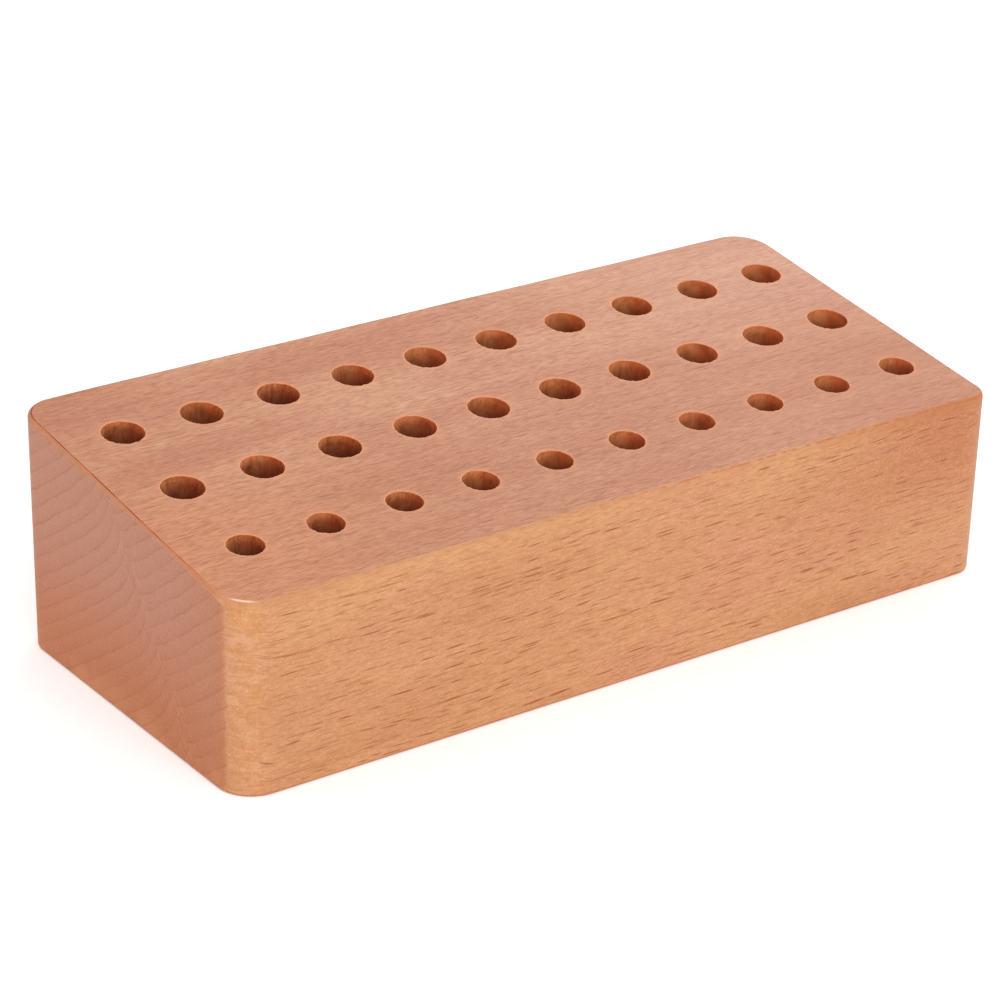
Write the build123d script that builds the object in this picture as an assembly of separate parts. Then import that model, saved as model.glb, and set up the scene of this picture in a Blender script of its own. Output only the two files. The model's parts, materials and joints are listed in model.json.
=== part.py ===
from build123d import *
from math import atan2, cos, degrees, radians, sin, tan
import os

# Bench block for small screwdrivers: one solid wedge of beech with three rows of blind
# holes drilled in its sloping top.  Millimetres.  +Z is up and +X runs along the length.
# The front, which is the low side, faces -Y.  The origin is the middle of the base.

# Sizes of the block
block_length = 149.6
block_depth = 67.0
front_height = 32.0
back_height = 41.5
corner_radius = 6.5
top_edge_radius = 0.6
base_edge_radius = 0.5

# Places of the holes, measured on the sloping top from the block's faces
holes_per_row = 10
left_end_to_first_hole = 11.2
right_end_to_last_hole = 8.8
front_face_to_front_row = 15.5
back_face_to_back_row = 15.0

# Sizes of the holes, and the point that the drill leaves at the bottom of each
back_hole_diameter = 7.0
middle_hole_diameter = 7.0
front_hole_diameter = 6.0
hole_depth = 25.0
drill_point_angle = 118.0

# What follows from them
slope = atan2(back_height - front_height, block_depth)
top_run = block_depth / cos(slope)
hole_pitch = (block_length - left_end_to_first_hole - right_end_to_last_hole) / (holes_per_row - 1)
middle_row_from_front = (front_face_to_front_row + top_run - back_face_to_back_row) / 2
rows = [
    (front_face_to_front_row, front_hole_diameter),
    (middle_row_from_front, middle_hole_diameter),
    (top_run - back_face_to_back_row, back_hole_diameter),
]


def wedge():
    """The planed blank: upright faces, a flat base and a top that falls to the front."""
    front, back = -block_depth / 2, block_depth / 2
    profile = Polyline(
        (front, 0), (back, 0), (back, back_height), (front, front_height), close=True
    )
    end_face = Plane.YZ * make_face(profile)
    blank = extrude(end_face, amount=block_length / 2, both=True)
    return fillet(blank.edges().filter_by(Axis.Z), corner_radius)


def with_eased_edges(blank):
    """The sharp edges round the base and round the top are sanded to a small radius."""
    base_edges = blank.faces().sort_by(Axis.Z)[0].edges()
    eased = fillet(base_edges, base_edge_radius)
    top_edges = eased.faces().sort_by(Axis.Z)[-1].edges()
    return fillet(top_edges, top_edge_radius)


def hole_cutter(diameter):
    """What the drill clears: the mouth is at the origin, and the point lies towards -Z."""
    radius = diameter / 2
    point_length = radius / tan(radians(drill_point_angle / 2))
    above_mouth = radius
    half_outline = Polyline(
        (0, -hole_depth - point_length),
        (radius, -hole_depth),
        (radius, above_mouth),
        (0, above_mouth),
        close=True,
    )
    return revolve(Plane.XZ * make_face(half_outline), Axis.Z)


def hole_places(from_front):
    """Frames on the sloping top, one for each hole of a row, with Z square to the slope."""
    top_plane = Plane(
        origin=(-block_length / 2, -block_depth / 2, front_height),
        x_dir=(1, 0, 0),
        z_dir=(0, -sin(slope), cos(slope)),
    )
    first = left_end_to_first_hole
    return [
        top_plane * Pos(first + index * hole_pitch, from_front, 0)
        for index in range(holes_per_row)
    ]


def beech_block():
    """The finished block: the eased wedge with every hole drilled square to its top."""
    block = with_eased_edges(wedge())
    cutters = [
        place * hole_cutter(diameter)
        for from_front, diameter in rows
        for place in hole_places(from_front)
    ]
    return block - cutters


os.makedirs("parts", exist_ok=True)
export_step(beech_block(), "parts/beech_block.step")
print("slope of the top, degrees:", round(degrees(slope), 3))
print("hole pitch along a row:", round(hole_pitch, 3))
print("rows, distance from the front edge up the slope:", [round(row, 3) for row, _ in rows])
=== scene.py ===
import json
from math import atan2, cos, pi, radians, tan
from types import SimpleNamespace

import bpy
import numpy as np
from mathutils import Matrix, Vector


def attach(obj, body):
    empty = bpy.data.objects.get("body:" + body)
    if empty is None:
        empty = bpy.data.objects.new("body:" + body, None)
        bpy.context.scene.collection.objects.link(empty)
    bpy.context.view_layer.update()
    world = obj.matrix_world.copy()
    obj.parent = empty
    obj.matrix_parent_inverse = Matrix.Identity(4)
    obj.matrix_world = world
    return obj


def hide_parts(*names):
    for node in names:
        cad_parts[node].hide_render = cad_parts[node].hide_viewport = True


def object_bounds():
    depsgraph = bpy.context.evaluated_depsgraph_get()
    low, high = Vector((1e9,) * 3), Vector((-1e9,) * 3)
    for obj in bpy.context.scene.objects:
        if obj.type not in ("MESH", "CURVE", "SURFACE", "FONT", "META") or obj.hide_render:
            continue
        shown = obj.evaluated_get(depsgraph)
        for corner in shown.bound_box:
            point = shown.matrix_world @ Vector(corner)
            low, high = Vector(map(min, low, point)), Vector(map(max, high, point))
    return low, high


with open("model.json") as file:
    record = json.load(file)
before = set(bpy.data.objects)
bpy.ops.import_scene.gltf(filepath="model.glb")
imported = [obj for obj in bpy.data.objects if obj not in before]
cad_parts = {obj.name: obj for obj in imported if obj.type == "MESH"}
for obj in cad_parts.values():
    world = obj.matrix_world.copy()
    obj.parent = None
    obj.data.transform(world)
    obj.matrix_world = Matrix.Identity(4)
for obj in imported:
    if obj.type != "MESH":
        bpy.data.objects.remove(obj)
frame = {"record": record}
cad_low, cad_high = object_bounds()


# The planed blank
# The block before drilling: one piece of steamed beech, sawn to a wedge and planed, with its
# upright corners rounded over and every edge sanded, the front one most.  It is bare wood,
# sanded to a satin surface.

MM = 0.001
mounts = {mount["name"]: mount for mount in frame["record"]["mounts"]}


def mouth(name):
    """The middle of a hole's mouth, on the sloping top."""
    mount = mounts[name]
    return Vector(mount["pos_m"]) + Vector(mount["axis"]) * mount["dims"]["length_mm"] / 2 * MM


rows = ("front_hole_", "middle_hole_", "back_hole_")
holes_in_row = sum(name.startswith(rows[0]) for name in mounts)
slope = atan2(-mounts["front_hole_01"]["axis"][1], mounts["front_hole_01"]["axis"][2])
first_mouths = [mouth(row + "01") for row in rows]
pitch = (mouth(f"front_hole_{holes_in_row:02d}").x - first_mouths[0].x) / (holes_in_row - 1)
row_distance = (first_mouths[1] - first_mouths[0]).length

half_length = (cad_high.x - cad_low.x) / 2
half_depth = (cad_high.y - cad_low.y) / 2
base_floor = cad_low.z
back_right_radius = 6.5 * MM
back_left_radius = 5.6 * MM
front_left_radius = 6.2 * MM
front_right_radius = 5.0 * MM
right_end_lean = 0.9 * MM
lean_reach = 15.0 * MM

# How far the sanded edge of the top reaches in, at the left end and at the right end of the
# block.  The last pair is added to the front edge where it turns a corner.
back_ease = (0.74 * MM, 0.9 * MM)
front_ease = (1.2 * MM, 2.0 * MM)
end_ease = (0.75 * MM, 0.9 * MM)
front_corner_ease = (0.5 * MM, -0.7 * MM)
ease_waver = 0.05 * MM
base_ease = 0.6 * MM

# The mesh has a narrow flat rim beside each rounded edge, so that the faces shade as flat.
flat_rim = 0.15 * MM
steps_across_cell = 20
corner_steps = 16
ease_steps = 6
face_steps = 5
base_ease_steps = 4


def on_top(plan):
    """The sloping top's height over points in plan."""
    return first_mouths[0].z + (plan[:, 1] - first_mouths[0].y) * tan(slope)


def raised(plan, heights):
    """Points in plan, each lifted to its own height."""
    return np.column_stack([plan, heights])


def plan_outline(inset):
    """The block's outline in plan, that far inside its faces.

    It starts at the middle of the right end and runs anticlockwise.
    """
    corners = (
        (1, 1, back_right_radius), (-1, 1, back_left_radius),
        (-1, -1, front_left_radius), (1, -1, front_right_radius),
    )
    end_steps = len(rows) * steps_across_cell // 2
    side_steps = holes_in_row * steps_across_cell // 2
    angles = np.linspace(0, pi / 2, corner_steps + 1)
    quarter_turn = np.column_stack([np.cos(angles), np.sin(angles)])
    loop = []
    for right, behind, radius in corners:
        arc = (radius - inset) * quarter_turn + (half_length - radius, half_depth - radius)
        up_end = np.linspace(0, arc[0, 1], end_steps + 1)[:-1]
        to_middle = np.linspace(arc[-1, 0], 0, side_steps + 1)[1:]
        quarter = np.vstack([
            np.column_stack([np.full(end_steps, half_length - inset), up_end]),
            arc,
            np.column_stack([to_middle, np.full(side_steps, half_depth - inset)]),
        ])
        if right != behind:
            quarter = quarter[::-1]
        loop.append((quarter * (right, behind))[:-1])
    return np.vstack(loop)


def field_lines():
    """Where the mesh lines of the drilled field lie in plan: along the block, and up its slope."""
    left = first_mouths[0].x - pitch / 2
    right = left + holes_in_row * pitch
    front = first_mouths[0].y - row_distance / 2 * cos(slope)
    back = front + len(rows) * row_distance * cos(slope)
    along = np.linspace(left, right, holes_in_row * steps_across_cell + 1)
    up = np.linspace(front, back, len(rows) * steps_across_cell + 1)
    return along, up


def field_edge(along, up):
    """The edge of the drilled field in plan, in step with plan_outline.

    Its corners are square, so each of them is repeated while that outline turns.
    """
    left, right, front, back = along[0], along[-1], up[0], up[-1]
    loop = [(right, y) for y in up[:-1]] + [(right, back)] * corner_steps
    loop += [(x, back) for x in along[:0:-1]] + [(left, back)] * corner_steps
    loop += [(left, y) for y in up[:0:-1]] + [(left, front)] * corner_steps
    loop += [(x, front) for x in along[:-1]] + [(right, front)] * corner_steps
    return np.roll(np.array(loop), -(len(up) // 2), axis=0)


def loops_to_faces(loops, points):
    """Quads between loops that lie one after another, each with that many points."""
    return [
        (start + i, start + (i + 1) % points, start + points + (i + 1) % points, start + points + i)
        for start in range(0, (loops - 1) * points, points)
        for i in range(points)
    ]


def rounded(start, corner, end, steps):
    """Points on a near round curve from start to end that keeps inside the corner."""
    round_reach = 0.5523
    near = start + (corner - start) * round_reach
    far = end + (corner - end) * round_reach
    return [
        (1 - t) ** 3 * start + 3 * (1 - t) ** 2 * t * near + 3 * (1 - t) * t**2 * far + t**3 * end
        for t in np.linspace(0, 1, steps + 1)
    ]


def sanded_width(outer, inward):
    """How far the sanded edge of the top reaches in at each point of the outline."""
    to_right = (outer[:, 0] / half_length + 1) / 2
    back, front, end, corner = [
        at_left + (at_right - at_left) * to_right
        for at_left, at_right in (back_ease, front_ease, end_ease, front_corner_ease)
    ]
    at_end = abs(inward[:, 0])
    at_side = abs(inward[:, 1])
    in_front = outer[:, 1] < 0
    turn = np.linspace(0, 2 * pi, len(outer), endpoint=False)
    waver = ease_waver * (np.sin(turn * 7 + 1) + np.sin(turn * 17))
    ease = end * at_end**2 + np.where(in_front, front, back) * at_side**2 + waver
    return (ease + in_front * corner * 2 * at_end * at_side)[:, None]


def skin_loops(edge):
    """Loops of points from the drilled field's edge, out over the top's edge, down the faces
    and under the base to below the field.

    With them comes how far the skin has turned: 0 on the top, 1 on the faces, 2 on the base.
    """
    outer = plan_outline(0.0)
    inward = (plan_outline(1.0 * MM) - outer) / MM
    ease = sanded_width(outer, inward)
    upright = np.array((0, 0, 1.0))

    def top_loop(inset):
        plan = outer + inward * inset
        return raised(plan, on_top(plan))

    def low_loop(inset, height):
        return raised(outer + inward * inset, np.full(len(outer), height))

    arris = top_loop(0.0)
    over_edge = rounded(top_loop(ease), arris, arris - upright * ease, ease_steps)
    foot = low_loop(0.0, base_floor + base_ease)
    face_top = over_edge[-1] - upright * flat_rim
    face_foot = foot + upright * flat_rim
    down_face = [
        face_top + (face_foot - face_top) * share for share in np.linspace(0, 1, face_steps + 1)
    ]
    under_edge = rounded(
        foot, low_loop(0.0, base_floor), low_loop(base_ease, base_floor), base_ease_steps
    )
    loops = [top_loop(ease + flat_rim), *over_edge, *down_face, *under_edge]
    loops.append(low_loop(base_ease + flat_rim, base_floor))
    for loop in loops:
        over_end = np.clip((loop[:, 0] - half_length) / lean_reach + 1, 0, 1)
        loop[:, 0] -= right_end_lean * over_end * (1 - loop[:, 2] / on_top(loop[:, :2]))
    turned = [
        0, 0, *np.linspace(0, 1, len(over_edge)), *np.ones(len(down_face)),
        *np.linspace(1, 2, len(under_edge)), 2, 2,
    ]
    field_above = raised(edge, on_top(edge))
    field_below = raised(edge, np.full(len(edge), base_floor))
    return [field_above, *loops, field_below], turned


def mark_points(mesh, name, values):
    """Keeps a number for each point of a mesh, which the materials read."""
    made = mesh.attributes.new(name, "FLOAT", "POINT")
    made.data.foreach_set("value", np.asarray(values, np.float32))


def planed_blank():
    """The block's skin without the drilled field, which stays open in the top."""
    along, up = field_lines()
    loops, turned = skin_loops(field_edge(along, up))
    count = len(loops[0])
    points = list(np.vstack(loops))
    faces = [face[::-1] for face in loops_to_faces(len(loops), count)]

    def place_key(point):
        return tuple(np.round(point, 7))

    first_of_last = len(points) - count
    numbers = {place_key(point): first_of_last + i for i, point in enumerate(loops[-1])}
    for x in along:
        for y in up:
            point = np.array((x, y, base_floor))
            if place_key(point) not in numbers:
                numbers[place_key(point)] = len(points)
                points.append(point)
    grid = [[numbers[place_key((x, y, base_floor))] for y in up] for x in along]
    faces += [
        (near[j], near[j + 1], far[j + 1], far[j])
        for near, far in zip(grid, grid[1:])
        for j in range(len(up) - 1)
    ]
    mesh = bpy.data.meshes.new("drilled_block")
    mesh.from_pydata([tuple(point) for point in points], [], faces)
    mesh.materials.append(planed)
    below_field = [2] * (len(points) - len(loops) * count)
    mark_points(mesh, "turned", [*np.repeat(turned, count), *below_field])
    return bpy.data.objects.new("drilled_block", mesh)


# How the plank lay in the tree, in millimetres.  The heart of the tree was behind and above the
# block, so the growth rings rise towards the front on the ends of the block, and the rays show
# as short dark dashes along the grain.
left_end = -75.0
heart_behind = 234.6
heart_above = 360.9
heart_away = (heart_behind**2 + heart_above**2) ** 0.5
heart_lean_back = 0.0166
heart_lean_up = 0.032
ring_width = 2.6

# The step in the rings on the left end, where a broad ray crosses them: its place on that end,
# how high and how wide it is on either side of the ray, and where it fades along the block.
bend_at = (-8.0, 19.4)
bend_height = 2.6
bend_reach = 3.4
bend_dip = 0.8
bend_dip_reach = 2.6
bend_fades = (-72.0, -25.0)


class Amount:
    """A number that changes over the wood.

    It is a node's output with arithmetic, so that a pattern reads as a sum.
    """

    def __init__(self, tree, socket):
        self.tree = tree
        self.socket = socket

    def by(self, operation, *others):
        """What a Math node makes of this number and the others."""
        made = self.tree.nodes.new("ShaderNodeMath")
        made.operation = operation
        for socket, value in zip(made.inputs, (self, *others)):
            feed(self.tree, socket, value)
        return Amount(self.tree, made.outputs[0])

    def __add__(self, other):
        return self.by("ADD", other)

    def __sub__(self, other):
        return self.by("SUBTRACT", other)

    def __mul__(self, other):
        return self.by("MULTIPLY", other)

    def __truediv__(self, other):
        return self.by("DIVIDE", other)

    def __pow__(self, other):
        return self.by("POWER", other)

    def rising(self, start, end):
        """0 up to start, 1 from end on and smooth between them.  It falls if end is the lower."""
        made = self.tree.nodes.new("ShaderNodeMapRange")
        made.interpolation_type = "SMOOTHSTEP"
        feed(self.tree, made.inputs["Value"], self)
        feed(self.tree, made.inputs["From Min"], start)
        feed(self.tree, made.inputs["From Max"], end)
        return Amount(self.tree, made.outputs["Result"])


def feed(tree, socket, value):
    """Gives a socket its value: a link from another node, or a constant."""
    if isinstance(value, Amount):
        tree.links.new(value.socket, socket)
    elif isinstance(value, bpy.types.NodeSocket):
        tree.links.new(value, socket)
    else:
        socket.default_value = value


def add(tree, kind, inputs=None, **settings):
    """A new node of that kind with its settings and its named inputs."""
    made = tree.nodes.new(kind)
    for name, value in settings.items():
        setattr(made, name, value)
    for name, value in (inputs or {}).items():
        feed(tree, made.inputs[name], value)
    return made


def joined(tree, x, y, z):
    """Three numbers made one vector."""
    return add(tree, "ShaderNodeCombineXYZ", {"X": x, "Y": y, "Z": z}).outputs["Vector"]


def parted(tree, vector):
    """The three numbers of a vector."""
    made = add(tree, "ShaderNodeSeparateXYZ", {"Vector": vector})
    return [Amount(tree, made.outputs[name]) for name in "XYZ"]


def cloud(tree, place, detail=2.0, roughness=0.5):
    """Soft noise between 0 and 1 whose patches are about one unit of the place across."""
    inputs = {
        "Vector": joined(tree, *place), "Scale": 1.0, "Detail": detail, "Roughness": roughness,
    }
    return Amount(tree, add(tree, "ShaderNodeTexNoise", inputs).outputs[0])


def lenses(tree, place, cell, half_size):
    """One long thin lens in each cell of a loose packing, as wood rays lie.

    With it comes a number by chance for each lens.
    """
    place = joined(tree, *[number / span for number, span in zip(place, cell)])
    packing = add(tree, "ShaderNodeTexVoronoi", {"Vector": place, "Scale": 1.0, "Randomness": 1.0})
    here = parted(tree, place)
    middle = parted(tree, packing.outputs["Position"])
    chance, width, length = parted(tree, packing.outputs["Color"])
    reach = [size / span for size, span in zip(half_size, cell)]
    along = (here[0] - middle[0]) / (length * 0.8 + 0.6) / reach[0]
    across = (here[1] - middle[1]) / (width * 0.8 + 0.6) / reach[1]
    deep = (here[2] - middle[2]) / reach[2]
    off = (along * along + across * across + deep * deep) ** 0.5
    return off.rising(1.0, 0.35), chance


figure_sizes = {
    "Ring width": ring_width, "Ray length": 4.9, "Ray thickness": 0.2, "Fibre thickness": 0.3,
    "Wander": 1.0,
}
figure_parts = ("Ring", "Ray", "Vein", "Fibre", "Streak", "Fan", "Tone", "Blush")


def beech_figure():
    """Node group: where the parts of the beech's figure lie, for any surface cut in the plank."""
    tree = bpy.data.node_groups.new("beech figure", "ShaderNodeTree")
    float_socket = "NodeSocketFloat"
    for name, value in figure_sizes.items():
        made = tree.interface.new_socket(name, in_out="INPUT", socket_type=float_socket)
        made.default_value = value
    for name in figure_parts:
        tree.interface.new_socket(name, in_out="OUTPUT", socket_type=float_socket)
    given = tree.nodes.new("NodeGroupInput")
    year_width, ray_length, ray_thickness, fibre_thickness, wander = [
        Amount(tree, given.outputs[name]) for name in figure_sizes
    ]

    # The grain wanders by a millimetre or two on its way along the plank.
    x, y, z = [
        number / MM for number in parted(tree, add(tree, "ShaderNodeTexCoord").outputs["Object"])
    ]
    drift = cloud(tree, (x / 55.0, y / 16.0, z / 16.0)) - 0.5
    ripple = cloud(tree, (x / 9.0, y / 4.0, z / 4.0)) - 0.5
    y = y + (drift * 2.4 + ripple * 0.8) * wander
    z = z + (drift * -1.2 + ripple * 0.8) * wander

    # Depth is how far from the heart a point lies, and around is how far along its ring.
    to_heart_back = x * heart_lean_back + heart_behind - y
    to_heart_up = x * heart_lean_up + heart_above - z
    depth = (to_heart_back * to_heart_back + to_heart_up * to_heart_up) ** 0.5
    bend_angle = atan2(
        heart_behind + left_end * heart_lean_back - bend_at[0],
        heart_above + left_end * heart_lean_up - bend_at[1],
    )
    around = (to_heart_back.by("ARCTAN2", to_heart_up) - bend_angle) * heart_away

    # Each year's ring darkens slowly, ends in a dark line and starts pale again.
    behind = (around.by("MINIMUM", 0.0) / bend_reach).by("EXPONENT")
    behind = behind * around.by("LESS_THAN", 0.0) * bend_height
    before = (around.by("MAXIMUM", 0.0) / -bend_dip_reach).by("EXPONENT")
    before = before * around.by("GREATER_THAN", 0.0) * bend_dip
    bent = (behind + before) * x.rising(bend_fades[1], bend_fades[0])
    uneven = cloud(tree, (0.0, 0.0, depth / 9.0), detail=1.0)
    year = ((depth + bent) / year_width + uneven).by("FRACT")
    clear = cloud(tree, (x / 40.0, y / 7.0 + 7.0, z / 5.0), detail=3.0, roughness=0.6)
    slow_growth = year.rising(0.2, 0.9) * 0.4
    dark_line = year.rising(0.76, 0.92) * (clear.rising(0.36, 0.62) * 0.7 + 0.1)
    ring = (slow_growth + dark_line) * year.rising(1.0, 0.92)

    # Rays are thin lenses that stand on the rings, and veins are long thin ones among them.
    ray, ray_chance = lenses(
        tree, (x, around, depth),
        cell=(5.0, 0.46, 8.0), half_size=(ray_length * 0.5, ray_thickness * 0.5, 4.4),
    )
    crowd = cloud(tree, (x / 26.0, around / 2.0, depth / 5.0), detail=1.0).rising(0.3, 0.6)
    ray = ray * (ray_chance * 0.7 + 0.3) * (crowd * 0.4 + 0.6)
    vein, vein_chance = lenses(
        tree, (x, around, depth), cell=(32.0, 2.4, 14.0), half_size=(9.0, 0.09, 6.0)
    )
    vein = vein * vein_chance.rising(0.3, 1.0)

    # Fibres and streaks run along the grain, and the fan is the rays seen end on.
    fibre = cloud(
        tree, (x / 1.8, around / fibre_thickness, depth / fibre_thickness),
        detail=3.0, roughness=0.6,
    )
    streak = cloud(tree, (x / 5.0, around / 0.6, depth / 0.6), roughness=0.6)
    squiggle = cloud(tree, (x / 9.0, around / 2.0 + 11.0, depth / 1.3)) - 0.5
    fan = cloud(tree, (x / 40.0, (around + squiggle * 2.4) / 0.55, depth / 7.0), detail=1.0)
    near_bend = (around.by("ABSOLUTE") / -3.0).by("EXPONENT")
    fan = (fan - 0.5) * (near_bend * 0.8 + 0.2) + 0.5
    tone = cloud(tree, (x / 38.0, y / 9.0, z / 9.0))
    blush = cloud(tree, (x / 26.0 + 31.0, y / 13.0, z / 13.0))

    shown = tree.nodes.new("NodeGroupOutput")
    amounts = (ring, ray, vein, fibre, streak, fan, tone, blush)
    for name, amount in zip(figure_parts, amounts):
        feed(tree, shown.inputs[name], amount)
    return tree


def new_material(name):
    """A material and its shader."""
    material = bpy.data.materials.new(name)
    material.use_nodes = True
    return material, material.node_tree.nodes["Principled BSDF"]


def beech_grain(tree, sizes=None):
    """The beech's figure placed in a material, with each of its parts as an amount."""
    placed = add(tree, "ShaderNodeGroup", sizes, node_tree=figure)
    return SimpleNamespace(
        **{name.lower(): Amount(tree, placed.outputs[name]) for name in figure_parts}
    )


def marked(tree, name):
    """A number that the mesh keeps for each of its points."""
    return Amount(tree, add(tree, "ShaderNodeAttribute", attribute_name=name).outputs["Fac"])


def shade(red, green, blue):
    """A colour read as on a screen, 0 to 255, as the linear numbers that a shader takes."""
    return (*[((part / 255 + 0.055) / 1.055) ** 2.4 for part in (red, green, blue)], 1.0)


def mixed(tree, amount, first, second):
    """The first colour turning into the second as the amount goes from 0 to 1."""
    made = add(tree, "ShaderNodeMix", data_type="RGBA")
    factor, first_colour, second_colour = (made.inputs[number] for number in (0, 6, 7))
    feed(tree, factor, amount)
    feed(tree, first_colour, first)
    feed(tree, second_colour, second)
    return made.outputs[2]


def tinted(tree, colour, *tints):
    """A colour with tints laid over it one after another, each with its own amount."""
    for amount, tint in tints:
        colour = mixed(tree, amount, colour, tint)
    return colour


def planed_places(tree):
    """Where a point of the block lies, in millimetres, and how far it is on each face and edge."""
    coordinates = add(tree, "ShaderNodeTexCoord").outputs
    x, y, height = [number / MM for number in parted(tree, coordinates["Object"])]
    facing_x, facing_y, facing_z = [
        number.by("ABSOLUTE") for number in parted(tree, coordinates["Normal"])
    ]
    turned = marked(tree, "turned")
    patch = cloud(tree, (x / 2.4, y / 2.4, height / 1.8), detail=4.0, roughness=0.65)
    left_arris = x.rising(-71.0, -73.0) * y.rising(-29.0, -27.0)
    # Painted shade: the rounded edge below the left arris takes the end's duller colour, and is
    # darkened further where it would catch more light.
    painted_shade_under_arris = left_arris * turned.rising(0.26, 0.36)
    near_end = x.by("ABSOLUTE").rising(half_length / MM - 7.5, half_length / MM - 3.5)
    corner = near_end * facing_x.rising(0.99, 0.88) * facing_z.rising(0.9, 0.5)
    return SimpleNamespace(
        x=x, y=y, height=height, turned=turned, patch=patch,
        top=facing_z.rising(0.955, 0.985),
        side=facing_y.rising(0.88, 0.995),
        flat_side=facing_y.rising(0.9, 0.985),
        end=(facing_x + (patch - 0.5) * 0.16).rising(0.9, 0.96).by("MAXIMUM", painted_shade_under_arris),
        near_end=near_end,
        corner=corner * (x.rising(0.0, -60.0) * 0.65 + 0.35),
        left_arris=left_arris,
        painted_shade_under_arris=painted_shade_under_arris,
    )


def side_colour(tree, at, grain):
    """The front and the back: orange, and redder towards the right end."""
    orange = mixed(tree, grain.tone.rising(0.3, 0.7), shade(196, 138, 94), shade(205, 150, 104))
    redder = at.x.rising(25.0, 70.0) * at.height.rising(6.0, 28.0)
    return tinted(
        tree, orange,
        (grain.blush.rising(0.42, 0.68), shade(202, 142, 104)),
        (redder * 0.8, shade(184, 114, 76)),
    )


def top_colour(tree, at, grain):
    """The top: pink and duller along the front, with painted sheen that dulls the back left and
    pales the back right.
    """
    pink = mixed(tree, grain.tone.rising(0.3, 0.7), shade(193, 132, 103), shade(207, 152, 120))
    # Painted sheen: the back left is darkened and the back right paled, as a broad reflection falls
    # on the satin top.
    back_left = at.x.rising(-40.0, -74.0) * at.y.rising(0.0, 25.0)
    front_half = at.y.rising(6.0, -14.0)
    front_left = at.x.rising(-30.0, -66.0) * at.y.rising(10.0, -10.0)
    back_right = at.x.rising(15.0, 60.0) * at.y.rising(0.0, 14.0)
    return tinted(
        tree, pink,
        (back_left * 0.5, shade(184, 120, 94)),
        (front_half * 0.5, shade(182, 121, 88)),
        (front_left * 0.6, shade(208, 142, 104)),
        (back_right * 0.5, shade(208, 156, 132)),
    )


def end_colour(tree, at, grain):
    """The end grain: dull, redder low down, and crossed by a fan of pale and dark rays."""
    dull = mixed(tree, at.height.rising(3.0, 28.0), shade(186, 112, 74), shade(187, 128, 104))
    to_front = at.y.rising(-12.0, -30.0) * at.height.rising(0.0, 20.0)
    pale_foot = at.height.rising(7.0, 0.0) * grain.tone.rising(0.35, 0.65)
    return tinted(
        tree, dull,
        (to_front * 0.8, shade(188, 123, 87)),
        (pale_foot * 0.6, shade(208, 140, 92)),
        (grain.fan.rising(0.52, 0.68) * 0.3, shade(214, 152, 120)),
        (grain.fan.rising(0.48, 0.34) * 0.2, shade(166, 100, 70)),
    )


def corner_colour(tree, at):
    """The rounded upright corners, where end grain runs out into side grain: mottled."""
    line = cloud(tree, (at.x / 3.0, at.y / 3.0, at.height / 0.45))
    mottle = mixed(tree, at.patch.rising(0.36, 0.66), shade(198, 137, 88), shade(215, 160, 122))
    return mixed(tree, line.rising(0.46, 0.7) * 0.6, mottle, shade(186, 118, 76))


def with_figure(tree, at, grain, colour):
    """A colour with the wood's rings, streaks, fibres, grit, rays and veins, face by face."""
    rings = grain.ring * (at.end * 0.3 + at.top * 0.14 + at.side * 0.12)
    streaks = grain.streak.rising(0.5, 0.74) * (
        at.top * (at.x.rising(60.0, -40.0) * 0.16 + 0.16) + at.side * 0.12
    )
    short_grain = (at.corner + at.end).by("MINIMUM", 1.0)
    fibres = (grain.fibre - 0.4).by("MAXIMUM", 0.0) * (short_grain * -0.35 + 1.0)
    fibres = fibres * (at.top * at.x.rising(60.0, 0.0) * 0.6 + 1.2)
    grit = cloud(tree, (at.x / 0.4, at.y / 0.3, at.height / 0.3), roughness=0.6)
    rough = (at.side + at.corner).by("MINIMUM", 1.0) * 0.7 + at.end * 0.35 + 0.3
    rays = grain.ray * (at.flat_side * (at.near_end * -0.4 + 1.0) + at.top * 0.6)
    veins = grain.vein * (at.flat_side * 0.65 + at.top * 0.25)
    return tinted(
        tree, colour,
        (rings, shade(152, 80, 46)),
        (streaks, shade(158, 96, 68)),
        (fibres, shade(140, 82, 54)),
        (grit.rising(0.5, 0.75) * rough * 0.22, shade(176, 108, 66)),
        (grit.rising(0.5, 0.25) * rough * 0.25, shade(232, 180, 138)),
        (rays, shade(148, 78, 40)),
        (veins, shade(160, 84, 46)),
    )


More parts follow.
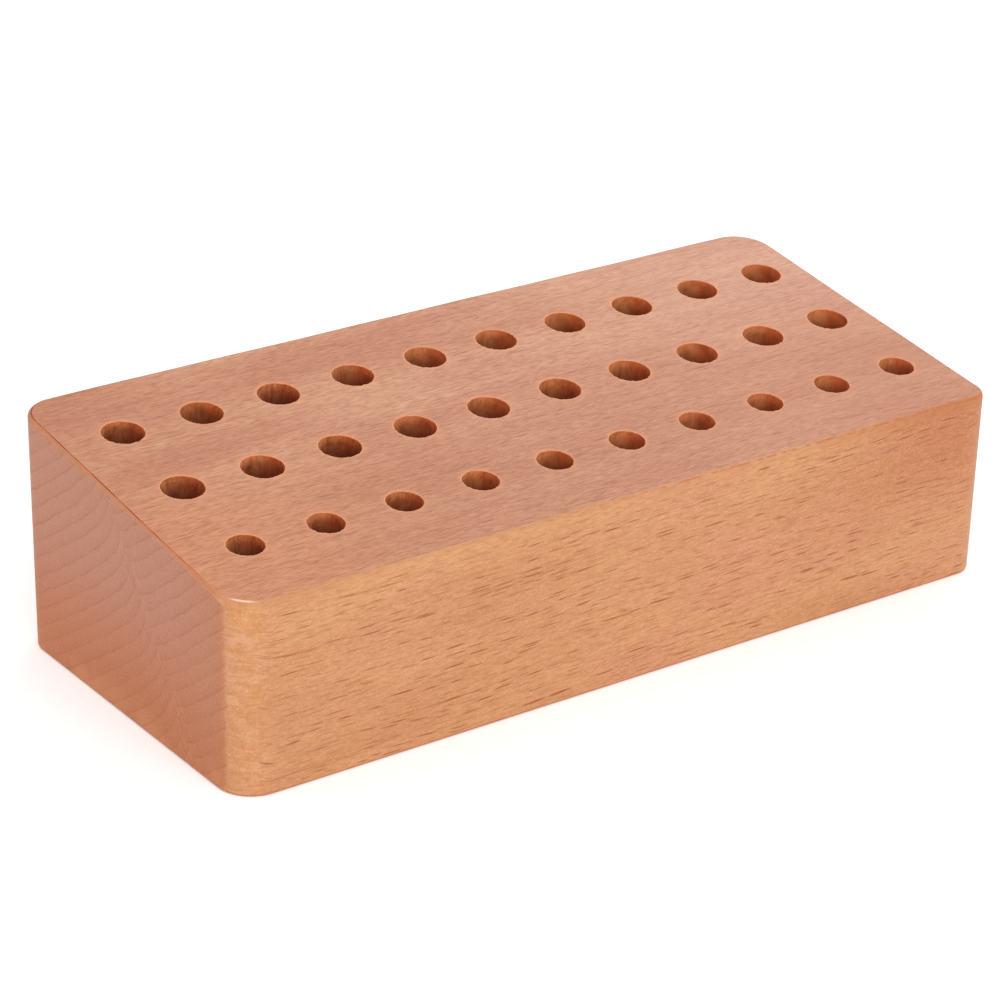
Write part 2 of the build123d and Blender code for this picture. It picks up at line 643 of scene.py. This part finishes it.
def with_edge_wear_and_painted_light(tree, at, colour):
    """A colour with what sanding and use left on the edges, and with painted light on some of them.

    The left arris has a bright line over a dark one and painted shade on the rounded edge below
    them, the front arris a broken line, the front left corner a painted highlight on its sanded
    edge, the foot painted shade along its rounded edge, and the rims of the holes torn fibres.
    """
    broken = cloud(tree, (at.x / 1.2, at.y / 9.0, at.height / 0.5), detail=3.0).rising(0.4, 0.6)
    # Painted shade darkens the rounded edge below the left arris.
    painted_shade_below_arris = at.painted_shade_under_arris * at.turned.rising(1.0, 0.35)
    bright_line = at.left_arris * at.turned.rising(0.0, 0.04) * at.turned.rising(0.34, 0.26)
    dark_line = at.left_arris * at.turned.rising(0.03, 0.09) * at.turned.rising(0.28, 0.22)
    dark_line = dark_line * at.y.rising(-32.0, -8.0)
    front_line = at.y.rising(-31.0, -32.0) * at.turned.rising(0.1, 0.18)
    front_line = front_line * at.turned.rising(0.32, 0.22) * at.x.rising(-70.0, 40.0) * broken
    # A painted highlight: a pale glint on the sanded edge of the front left corner.
    painted_glint = at.y.rising(-29.3, -30.4) * at.x.rising(-69.4, -71.8)
    painted_glint = painted_glint * at.turned.rising(0.04, 0.1) * at.turned.rising(0.28, 0.2)
    # Painted shade: a darker line along the rounded edge of the foot.
    painted_shade_at_foot = at.turned.rising(1.0, 1.3) * at.turned.rising(1.9, 1.6)
    return tinted(
        tree, colour,
        (painted_shade_below_arris * 0.9, shade(186, 122, 92)),
        (bright_line, shade(204, 128, 80)),
        (dark_line * (broken * 0.4 + 0.6), shade(146, 66, 38)),
        (front_line * 0.7, shade(184, 98, 50)),
        (painted_glint, shade(230, 188, 170)),
        (painted_shade_at_foot * 0.6, shade(176, 100, 56)),
        (marked(tree, "torn") * 0.65, shade(224, 148, 108)),
    )


def surface(tree, shader, colour, roughness, relief, relief_strength, relief_height):
    """Gives bare wood its colour, its dull sheen and its relief."""
    feed(tree, shader.inputs["Base Color"], colour)
    feed(tree, shader.inputs["Roughness"], roughness)
    shader.inputs["Specular IOR Level"].default_value = 0.2
    bump = add(
        tree, "ShaderNodeBump",
        {"Strength": relief_strength, "Distance": relief_height, "Height": relief},
    )
    feed(tree, shader.inputs["Normal"], bump.outputs["Normal"])


def planed_beech():
    """Material of every planed and sanded face."""
    material, shader = new_material("planed beech")
    tree = material.node_tree
    grain = beech_grain(tree)
    at = planed_places(tree)
    colour = side_colour(tree, at, grain)
    colour = mixed(tree, at.top, colour, top_colour(tree, at, grain))
    colour = mixed(tree, at.end, colour, end_colour(tree, at, grain))
    colour = mixed(tree, at.corner * 0.75, colour, corner_colour(tree, at))
    honey_spot = at.x.rising(-69.5, -71.0) * at.y.rising(-30.0, -31.0)
    honey_spot = honey_spot * at.height.rising(26.5, 29.5) * at.patch.rising(0.3, 0.5)
    colour = mixed(tree, honey_spot * 0.35, colour, shade(202, 138, 70))
    colour = with_figure(tree, at, grain, colour)
    colour = with_edge_wear_and_painted_light(tree, at, colour)
    surface(
        tree, shader, colour,
        roughness=(grain.fibre - 0.5) * 0.2 + at.end * 0.06 + 0.46,
        relief=grain.fibre * 0.5 - grain.ray - grain.vein * 0.6,
        relief_strength=0.5, relief_height=0.04 * MM,
    )
    return material


figure = beech_figure()
planed = planed_beech()
blank = planed_blank()


# The drilled holes
# Three rows of ten blind holes, bored square to the sloping top with a twist drill: 6 mm in
# the front row and 7 mm behind it.  The drill lifts and tears a few fibres round each mouth
# and leaves a scorched, streaked wall with its own cone at the bottom.  Painted shade darkens
# each wall down the hole and on one side, and a painted highlight pales the other side.
# Nothing lines the holes.

drill_point = radians(118.0)
rim_ease = 0.12 * MM
torn_rim = 0.24 * MM
fray_size = 0.5 * MM
weld_distance = 0.01 * MM
rim_steps = 3
margin_shares = (0, 0.4, 0.72, 0.9, 1)
wall_depths = np.array((0.35, 0.7, 1.2, 2.0, 3.2, 5.0, 8.0, 13.0, 19.0)) * MM
cone_shares = (0.66, 0.33)

# How torn each loop of a tile is, from its edge over the hole's rim to 2 mm down the wall
tearing = (0, 0, 0, 0.05, 0.35, 1.0, 1.0, 0.9, 0.7, 0.45, 0.25, 0.12, 0.05)


def drilled_cell(name, mount):
    """One tile of the sloping top with its hole, at the origin with the hole's mouth facing +Z."""
    radius = mount["dims"]["r_mm"] * MM
    depth = mount["dims"]["length_mm"] * MM
    across = np.linspace(-pitch / 2, pitch / 2, steps_across_cell + 1)
    up = np.linspace(-row_distance / 2, row_distance / 2, steps_across_cell + 1)
    tile = [(pitch / 2, y) for y in up[:-1]] + [(x, row_distance / 2) for x in across[:0:-1]]
    tile += [(-pitch / 2, y) for y in up[:0:-1]] + [(x, -row_distance / 2) for x in across[:-1]]
    count = len(tile)
    angles = -pi / 4 + np.arange(count) * 2 * pi / count
    circle = np.column_stack([np.cos(angles), np.sin(angles)])

    def ring(size, height):
        return raised(circle * size, np.full(count, height))

    edge = raised(np.array(tile), np.zeros(count))
    flat = ring(radius + rim_ease + flat_rim, 0.0)
    margin = [edge + (flat - edge) * share for share in margin_shares]
    rim = rounded(
        ring(radius + rim_ease, 0.0), ring(radius, 0.0), ring(radius, -rim_ease), rim_steps
    )
    wall = [ring(radius, -deep) for deep in (*wall_depths, depth)]
    point = radius / tan(drill_point / 2)
    cone = [ring(radius * share, -depth - point * (1 - share)) for share in cone_shares]
    loops = [*margin, *rim, *wall, *cone]
    points = [tuple(place) for place in np.vstack(loops)] + [(0.0, 0.0, -depth - point)]
    tip = len(points) - 1
    last = tip - count
    faces = loops_to_faces(len(loops), count)
    faces += [(last + i, last + (i + 1) % count, tip) for i in range(count)]

    mesh = bpy.data.meshes.new(name)
    mesh.from_pydata(points, [], faces)
    mesh.materials.append(planed)
    torn = np.zeros(len(points))
    torn[:len(tearing) * count] = np.repeat(tearing, count)
    mark_points(mesh, "torn", torn)
    first_of_wall = (len(margin) + len(rim) - 1) * count
    mark_points(mesh, "wall", np.arange(len(points)) >= first_of_wall)
    bore = [(x / radius, y / radius, -z / MM) for x, y, z in points]
    made = mesh.attributes.new("bore", "FLOAT_VECTOR", "POINT")
    made.data.foreach_set("vector", np.array(bore, np.float32).ravel())
    return bpy.data.objects.new(name, mesh)


def drilled_beech():
    """Material of the walls: rough, streaked down the hole and redder on end grain, with painted
    shade that darkens it down the hole and on one side, and a painted highlight on the other side.
    """
    material, shader = new_material("drilled beech")
    tree = material.node_tree
    grain = beech_grain(tree, {"Ray thickness": 0.3, "Wander": 1.5})
    own = marked(tree, "hole_shade")
    bore = add(tree, "ShaderNodeAttribute", attribute_name="bore").outputs["Vector"]
    side, up, deep = parted(tree, bore)
    x = parted(tree, add(tree, "ShaderNodeTexCoord").outputs["Object"])[0] / MM
    coarse = x.rising(40.0, -60.0) * 0.7 + own * 0.3
    streak = cloud(
        tree, (side * 3.4 + own * 40.0, up * 3.4, deep * 0.4), detail=3.0, roughness=0.7
    )
    scorch = cloud(tree, (side * 1.3, up * 1.3, deep * 0.4 + own * 60.0), detail=1.0)
    tooth = cloud(
        tree, (side * 9.0, up * 9.0 + own * 30.0, deep * 0.8), detail=3.0, roughness=0.7
    )
    end_cut = side.by("ABSOLUTE").rising(0.35, 0.9)
    shadow = deep.rising(0.2, 1.8) * side.rising(-0.8, 0.0) * (coarse * 0.5 + 0.12)
    colour = tinted(
        tree, mixed(tree, end_cut, shade(234, 150, 94), shade(212, 108, 60)),
        # A painted highlight: one side of each wall is paler.
        (side.rising(0.0, -0.7) * 0.5, shade(240, 172, 112)),
        (streak.rising(0.42, 0.66) * (coarse * 0.4 + 0.2), shade(134, 62, 28)),
        (scorch.rising(0.4, 0.75) * 0.45, shade(128, 60, 28)),
        (tooth.rising(0.5, 0.74) * (coarse * 0.5 + 0.2), shade(88, 36, 18)),
        (tooth.rising(0.42, 0.3) * (coarse * 0.3 + 0.1), shade(240, 180, 124)),
        (shadow, shade(118, 40, 16)),
        # Painted shade: the wall darkens down the hole.
        (deep.rising(0.6, 4.6) * 0.74, shade(98, 46, 26)),
        (marked(tree, "torn") * up.rising(-0.3, 0.6) * 0.7, shade(208, 98, 48)),
    )
    surface(
        tree, shader, colour,
        roughness=0.8,
        relief=streak + tooth * 0.6 + grain.fibre * 0.3 - grain.ring * 0.2,
        relief_strength=0.8, relief_height=0.1 * MM,
    )
    return material


def kept(tree, name):
    """Geometry Nodes: a number that the mesh keeps for each of its points."""
    made = add(tree, "GeometryNodeInputNamedAttribute", {"Name": name}, data_type="FLOAT")
    return Amount(tree, made.outputs["Attribute"])


def row_of_tiles(tree, tile, start, given, step, tilt, seed):
    """Geometry Nodes: the tiles of one row, each with a number of its own for its shade."""
    line = add(
        tree, "GeometryNodeMeshLine",
        {"Count": given["Holes in a row"], "Start Location": start, "Offset": step},
    )
    row = add(
        tree, "GeometryNodeInstanceOnPoints",
        {"Points": line.outputs["Mesh"], "Instance": tile, "Rotation": tilt},
    )
    own = add(tree, "FunctionNodeRandomValue", {"Seed": seed})
    shaded = add(
        tree, "GeometryNodeStoreNamedAttribute",
        {
            "Geometry": row.outputs["Instances"], "Name": "hole_shade",
            "Value": own.outputs["Value"],
        },
        data_type="FLOAT", domain="INSTANCE",
    )
    return shaded.outputs["Geometry"]


def drilling():
    """Geometry Nodes: sets the tiles into the blank's open top and tears the rims of the holes."""
    tree = bpy.data.node_groups.new("drilling", "GeometryNodeTree")
    tree.is_modifier = True
    sockets = {
        "Wide tile": "NodeSocketObject", "Narrow tile": "NodeSocketObject",
        "Holes in a row": "NodeSocketInt", "Pitch": "NodeSocketFloat", "Slope": "NodeSocketFloat",
        "First front hole": "NodeSocketVector", "First middle hole": "NodeSocketVector",
        "First back hole": "NodeSocketVector", "Tear": "NodeSocketFloat", "Seed": "NodeSocketInt",
    }
    tree.interface.new_socket("Geometry", in_out="INPUT", socket_type="NodeSocketGeometry")
    for name, kind in sockets.items():
        tree.interface.new_socket(name, in_out="INPUT", socket_type=kind)
    tree.interface.new_socket("Geometry", in_out="OUTPUT", socket_type="NodeSocketGeometry")
    given = tree.nodes.new("NodeGroupInput").outputs

    wide, narrow = [
        add(tree, "GeometryNodeObjectInfo", {"Object": given[name]}).outputs["Geometry"]
        for name in ("Wide tile", "Narrow tile")
    ]
    step = joined(tree, given["Pitch"], 0.0, 0.0)
    tilt = joined(tree, given["Slope"], 0.0, 0.0)
    together = add(tree, "GeometryNodeJoinGeometry")
    row_tiles = {"First front hole": narrow, "First middle hole": wide, "First back hole": wide}
    for number, (name, tile) in enumerate(row_tiles.items()):
        seed = Amount(tree, given["Seed"]) + float(number)
        row = row_of_tiles(tree, tile, given[name], given, step, tilt, seed)
        tree.links.new(row, together.inputs["Geometry"])
    tree.links.new(given["Geometry"], together.inputs["Geometry"])
    real = add(
        tree, "GeometryNodeRealizeInstances", {"Geometry": together.outputs["Geometry"]}
    )
    whole = add(
        tree, "GeometryNodeMergeByDistance",
        {"Geometry": real.outputs["Geometry"], "Distance": weld_distance},
    )

    place = add(tree, "GeometryNodeInputPosition").outputs["Position"]
    x, y, z = [number / fray_size for number in parted(tree, place)]
    lifts = [cloud(tree, (x + shift, y, z), roughness=0.7) - 0.5 for shift in (0.0, 40.0, 80.0)]
    reach = kept(tree, "torn") * Amount(tree, given["Tear"]) * 2.0
    push = joined(tree, lifts[0] * reach, lifts[1] * reach, lifts[2] * reach * 0.6)
    frayed = add(
        tree, "GeometryNodeSetPosition", {"Geometry": whole.outputs["Geometry"], "Offset": push}
    )
    smooth = add(
        tree, "GeometryNodeSetShadeSmooth",
        {"Geometry": frayed.outputs["Geometry"], "Shade Smooth": True},
    )
    faced = add(
        tree, "GeometryNodeSetMaterial",
        {"Geometry": smooth.outputs["Geometry"], "Material": planed},
    )
    bored = add(
        tree, "GeometryNodeSetMaterial",
        {
            "Geometry": faced.outputs["Geometry"], "Material": drilled,
            "Selection": kept(tree, "wall").by("GREATER_THAN", 0.6),
        },
    )
    shown = tree.nodes.new("NodeGroupOutput")
    tree.links.new(bored.outputs["Geometry"], shown.inputs["Geometry"])
    return tree


drilled = drilled_beech()
wide_tile = drilled_cell("wide_tile", mounts["back_hole_01"])
narrow_tile = drilled_cell("narrow_tile", mounts["front_hole_01"])
for made in (blank, wide_tile, narrow_tile):
    bpy.context.scene.collection.objects.link(made)

drill = blank.modifiers.new("drilling", "NODES")
drill.node_group = drilling()
drill_inputs = {
    "Wide tile": wide_tile, "Narrow tile": narrow_tile, "Holes in a row": holes_in_row,
    "Pitch": pitch, "Slope": slope, "First front hole": first_mouths[0],
    "First middle hole": first_mouths[1], "First back hole": first_mouths[2],
    "Tear": torn_rim, "Seed": 7,
}
for item in drill.node_group.interface.items_tree:
    if item.in_out == "INPUT" and item.name in drill_inputs:
        drill[item.identifier] = drill_inputs[item.name]
depsgraph = bpy.context.evaluated_depsgraph_get()
solid = bpy.data.meshes.new_from_object(
    blank.evaluated_get(depsgraph), preserve_all_data_layers=True, depsgraph=depsgraph
)
blank.modifiers.remove(drill)
blank.data = solid
solid.name = "drilled_block"
for tile in (wide_tile, narrow_tile):
    bpy.data.objects.remove(tile)
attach(blank, "root")
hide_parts("beech_block")


# The studio
# A plain pale floor under a white sky, with three soft lamps.  The one in front favours the
# front face, a weak one stands behind the right end, and one hangs high over the left end.

floor_half = 2.0
floor_corners = [(-1, -1), (1, -1), (1, 1), (-1, 1)]
floor_mesh = bpy.data.meshes.new("floor")
floor_mesh.from_pydata(
    [(x * floor_half, y * floor_half, 0) for x, y in floor_corners], [], [(0, 1, 2, 3)]
)
floor = bpy.data.objects.new("floor", floor_mesh)
bpy.context.scene.collection.objects.link(floor)
paper, paper_shader = new_material("white paper")
paper_shader.inputs["Base Color"].default_value = (0.9, 0.9, 0.9, 1.0)
paper_shader.inputs["Roughness"].default_value = 0.9
paper_shader.inputs["Emission Color"].default_value = (1.0, 1.0, 1.0, 1.0)
paper_shader.inputs["Emission Strength"].default_value = 0.2
floor_mesh.materials.append(paper)

sky = bpy.data.worlds.new("white sky")
sky.use_nodes = True
sky.node_tree.nodes["Background"].inputs["Color"].default_value = (1.0, 1.0, 1.0, 1.0)
sky.node_tree.nodes["Background"].inputs["Strength"].default_value = 0.75
bpy.context.scene.world = sky
bpy.context.scene.view_settings.view_transform = "Standard"


def softbox(name, azimuth, elevation, distance, size, power):
    """A square lamp that faces the block from that side, in degrees.

    Azimuth 0 is in front of the block, and 90 is beyond its right end.
    """
    lamp = bpy.data.lights.new(name, "AREA")
    lamp.shape = "SQUARE"
    lamp.size = size
    lamp.energy = power
    held = bpy.data.objects.new(name, lamp)
    held.visible_camera = False
    round_block = Matrix.Rotation(radians(azimuth), 4, "Z")
    tipped = Matrix.Rotation(radians(90 - elevation), 4, "X")
    held.matrix_world = round_block @ tipped @ Matrix.Translation((0, 0, distance))
    bpy.context.scene.collection.objects.link(held)


softbox("front softbox", azimuth=-12.0, elevation=40.0, distance=1.4, size=0.9, power=8.0)
softbox("back right softbox", azimuth=125.0, elevation=38.0, distance=0.6, size=0.3, power=0.6)
softbox("overhead softbox", azimuth=-65.0, elevation=64.0, distance=1.2, size=0.4, power=1.5)


# The camera
# It looks down at the block from the front left, as the photograph does.  Its place, its turn
# and its focal length come from a fit to the outline of the block and to its holes.

camera_azimuth = radians(-35.62)
camera_elevation = radians(24.36)
camera_roll = radians(0.86)
camera_distance = 571.6 * MM
camera_aim = Vector((-2.30, 1.88, 18.66)) * MM
camera_sensor_width = 36.0
camera_focal_length = 123.97
lens = bpy.data.cameras.new("camera")
lens.sensor_width = camera_sensor_width
lens.lens = camera_focal_length
camera = bpy.data.objects.new("camera", lens)
camera.matrix_world = (
    Matrix.Translation(camera_aim)
    @ Matrix.Rotation(camera_azimuth, 4, "Z")
    @ Matrix.Rotation(pi / 2 - camera_elevation, 4, "X")
    @ Matrix.Rotation(camera_roll, 4, "Z")
    @ Matrix.Translation((0, 0, camera_distance))
)
bpy.context.scene.collection.objects.link(camera)
bpy.context.scene.camera = camera
